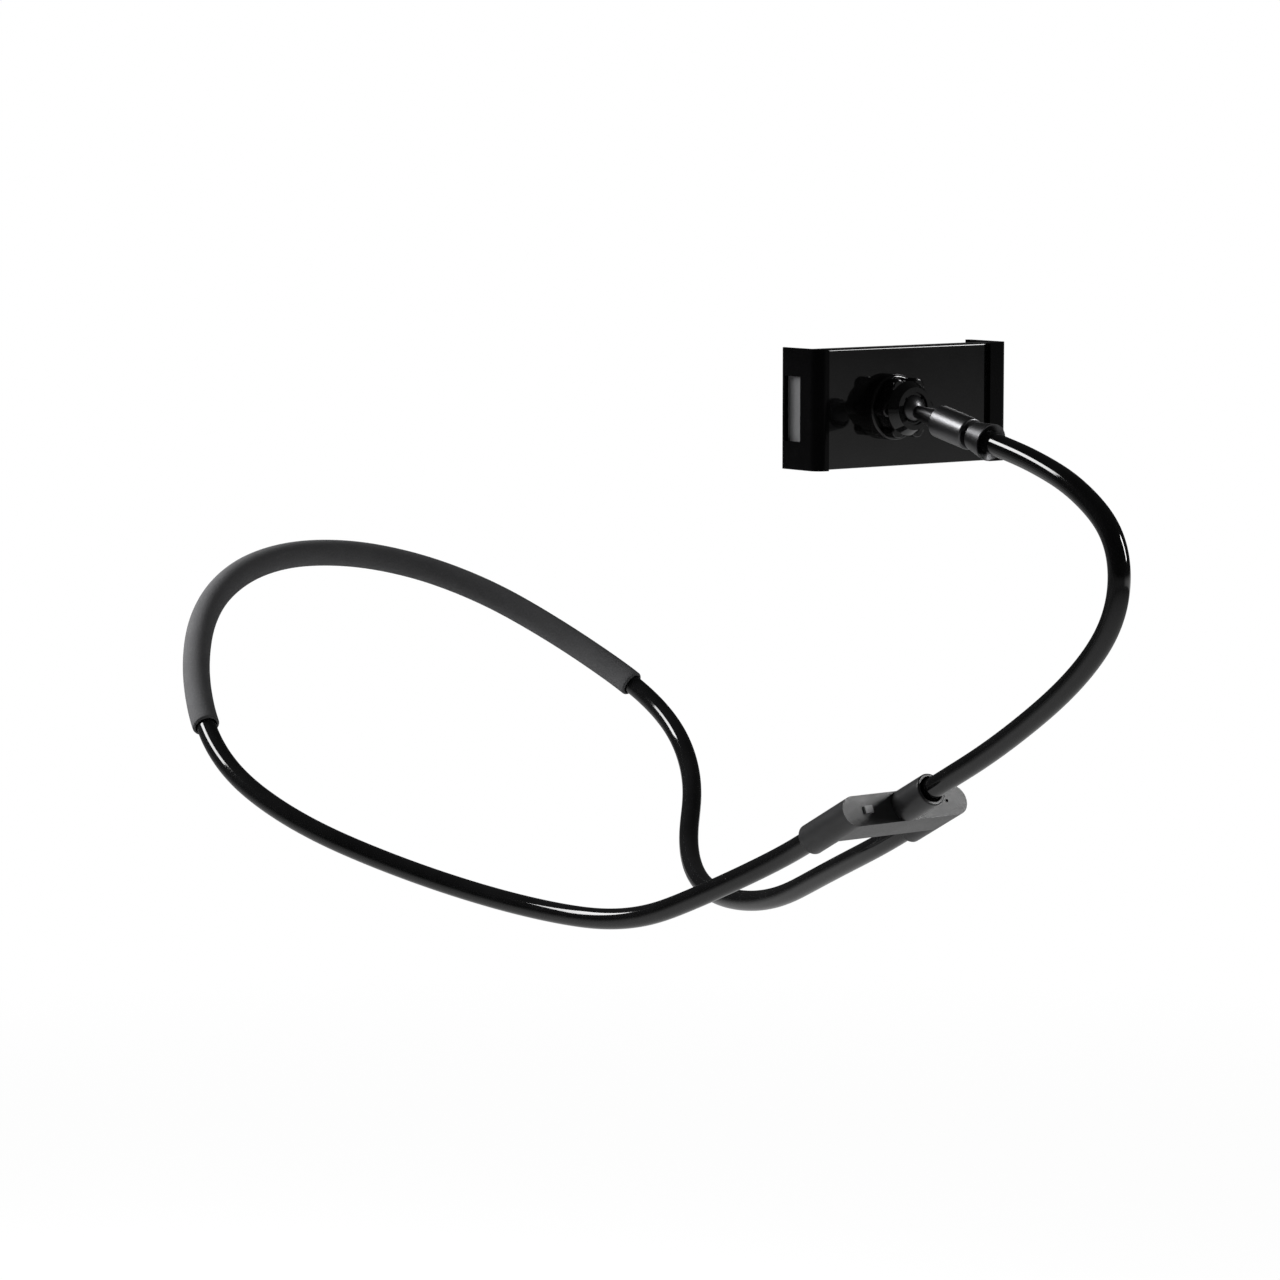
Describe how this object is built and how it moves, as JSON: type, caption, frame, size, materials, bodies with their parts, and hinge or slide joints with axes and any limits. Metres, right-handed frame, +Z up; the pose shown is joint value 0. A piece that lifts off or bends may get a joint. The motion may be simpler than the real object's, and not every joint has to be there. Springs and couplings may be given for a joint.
{
  "type": "neck phone holder",
  "caption": "Bendable gooseneck loop worn round the neck, with a foam neck pad, a three-way connector, a curved arm and a spring phone clamp on a ball joint.",
  "frame": {"origin": "where the middle of the neck pad meets the back of the neck", "axes": "+Z up, the wearer faces -Y, +X to the wearer's left; the phone in the clamp faces +Y"},
  "size_m": [0.2076, 0.4791, 0.216],
  "materials": {
    "sleeve": "gloss black",
    "core": "drawn wire",
    "foam": "matt closed-cell foam",
    "grey_plastic": "satin",
    "steel": "plain",
    "dark_metal": "satin, dark plated",
    "gloss_black": "mirror gloss",
    "black_plastic": "fine texture",
    "pad": "matt foam"
  },
  "bodies": {
    "neck_loop": {"loop_sleeve": "sleeve", "loop_core_wire": "core", "neck_pad": "foam", "loop_end_crimps": "steel", "connector_body": "grey_plastic", "slot_plug": "grey_plastic", "arm_base_crimp": "steel", "arm_sleeve": "sleeve", "arm_core_wire": "core"},
    "arm_tip": {"arm_end_ring": "dark_metal", "arm_end_crimp": "steel", "swivel_screw": "steel"},
    "stem": {"stem_sleeve": "dark_metal", "ball_stud": "dark_metal"},
    "nut": {"lock_nut": "gloss_black"},
    "clamp": {"ball_socket": "gloss_black", "socket_screws": "steel", "clamp_housing": "gloss_black", "front_plate": "black_plastic", "front_pad": "pad", "plate_screws": "steel", "fixed_jaw": "gloss_black", "fixed_jaw_pad": "pad", "jaw_screws": "steel", "guide_rods": "steel", "return_springs": "steel"},
    "jaw": {"sliding_jaw": "gloss_black", "sliding_jaw_pad": "pad"}
  },
  "joints": [
    {"name": "arm_bend", "type": "hinge", "parent": "neck_loop", "child": "arm_tip", "pos_m": [0, -0.462, 0.028], "axis": [1, 0, 0], "range_deg": [-20, 30], "deforming": ["arm_sleeve", "arm_core_wire"]},
    {"name": "stem_swivel", "type": "hinge", "parent": "arm_tip", "child": "stem", "pos_m": [0, -0.3607, 0.0765], "axis": [0, -0.9763, -0.2164], "continuous": true},
    {"name": "clamp_tilt", "type": "hinge", "parent": "stem", "child": "nut", "pos_m": [0, -0.3607, 0.0765], "axis": [1, 0, 0], "range_deg": [-20, 46]},
    {"name": "clamp_turn", "type": "hinge", "parent": "nut", "child": "clamp", "pos_m": [0, -0.3607, 0.0765], "axis": [0, 1, 0], "continuous": true},
    {"name": "jaw_slide", "type": "slide", "parent": "clamp", "child": "jaw", "axis": [-1, 0, 0], "range_m": [0, 0.03], "stiffness_N_per_m": 120, "springref_m": -0.03, "deforming": ["return_springs"]}
  ]
}
